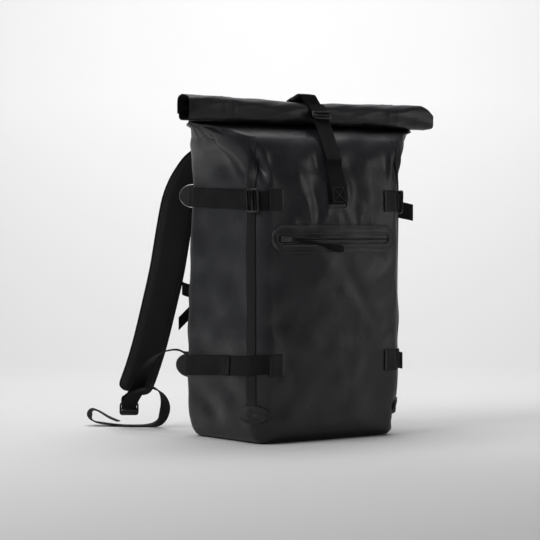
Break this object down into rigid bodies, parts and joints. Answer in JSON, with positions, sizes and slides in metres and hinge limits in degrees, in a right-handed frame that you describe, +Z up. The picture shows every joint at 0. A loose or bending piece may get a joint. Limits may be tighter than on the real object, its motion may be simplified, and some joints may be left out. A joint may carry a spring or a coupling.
{
  "type": "rolltop backpack",
  "caption": "Upright rolltop backpack in coated fabric: flared neck rolled and strapped shut, front zip pocket, side compression straps, padded shoulder straps.",
  "frame": {"origin": "on the flat bottom, in the middle of the bag's width, below the middle of its depth", "axes": "+Z up, -Y out of the front with the zip, X across the width, wearer's straps at +Y"},
  "size_m": [0.49, 0.4571, 0.5411],
  "materials": {
    "coated_fabric": "matt coated fabric with welded seams",
    "seam_band": "matt welded reinforcement band",
    "webbing": "woven webbing",
    "strap_cloth": "padded strap in fine woven cloth",
    "plastic": "moulded, satin",
    "zip_tape": "coated coil zip",
    "zip_metal": "black coated metal"
  },
  "bodies": {
    "root": {"anchor_loop_upper_left": "webbing", "anchor_loop_upper_right": "webbing", "anchor_patch_lower_left": "webbing", "anchor_patch_lower_right": "webbing", "anchor_patch_upper_left": "webbing", "anchor_patch_upper_right": "webbing", "bag_body": "coated_fabric", "closure_buckle_plug": "plastic", "closure_buckle_socket": "plastic", "closure_patch": "webbing", "closure_slider": "plastic", "closure_strap_back": "webbing", "closure_strap_front": "webbing", "front_seam_band_left": "seam_band", "front_seam_band_right": "seam_band", "ladder_lock_upper_left": "plastic", "ladder_lock_upper_right": "plastic", "lower_webbing_left": "webbing", "lower_webbing_right": "webbing", "roll_top": "coated_fabric", "shoulder_strap_left": "strap_cloth", "shoulder_strap_right": "strap_cloth", "side_strap_layer_left": "webbing", "side_strap_layer_right": "webbing", "side_strap_lower_left": "webbing", "side_strap_lower_right": "webbing", "side_strap_upper_left": "webbing", "side_strap_upper_right": "webbing", "side_tab_lower_left": "plastic", "side_tab_lower_right": "plastic", "side_tab_upper_left": "plastic", "side_tab_upper_right": "plastic", "side_tail_lower_right": "webbing", "side_tail_upper_right": "webbing", "sternum_buckle": "plastic", "sternum_strap_left": "webbing", "sternum_strap_right": "webbing", "sternum_tail": "webbing", "strap_ladder_lock_left": "plastic", "strap_ladder_lock_right": "plastic", "strap_tail_left": "webbing", "strap_tail_right": "webbing", "zip_pull": "webbing", "zip_slider": "zip_metal", "zip_surround": "coated_fabric", "zip_tape": "zip_tape"}
  },
  "joints": []
}
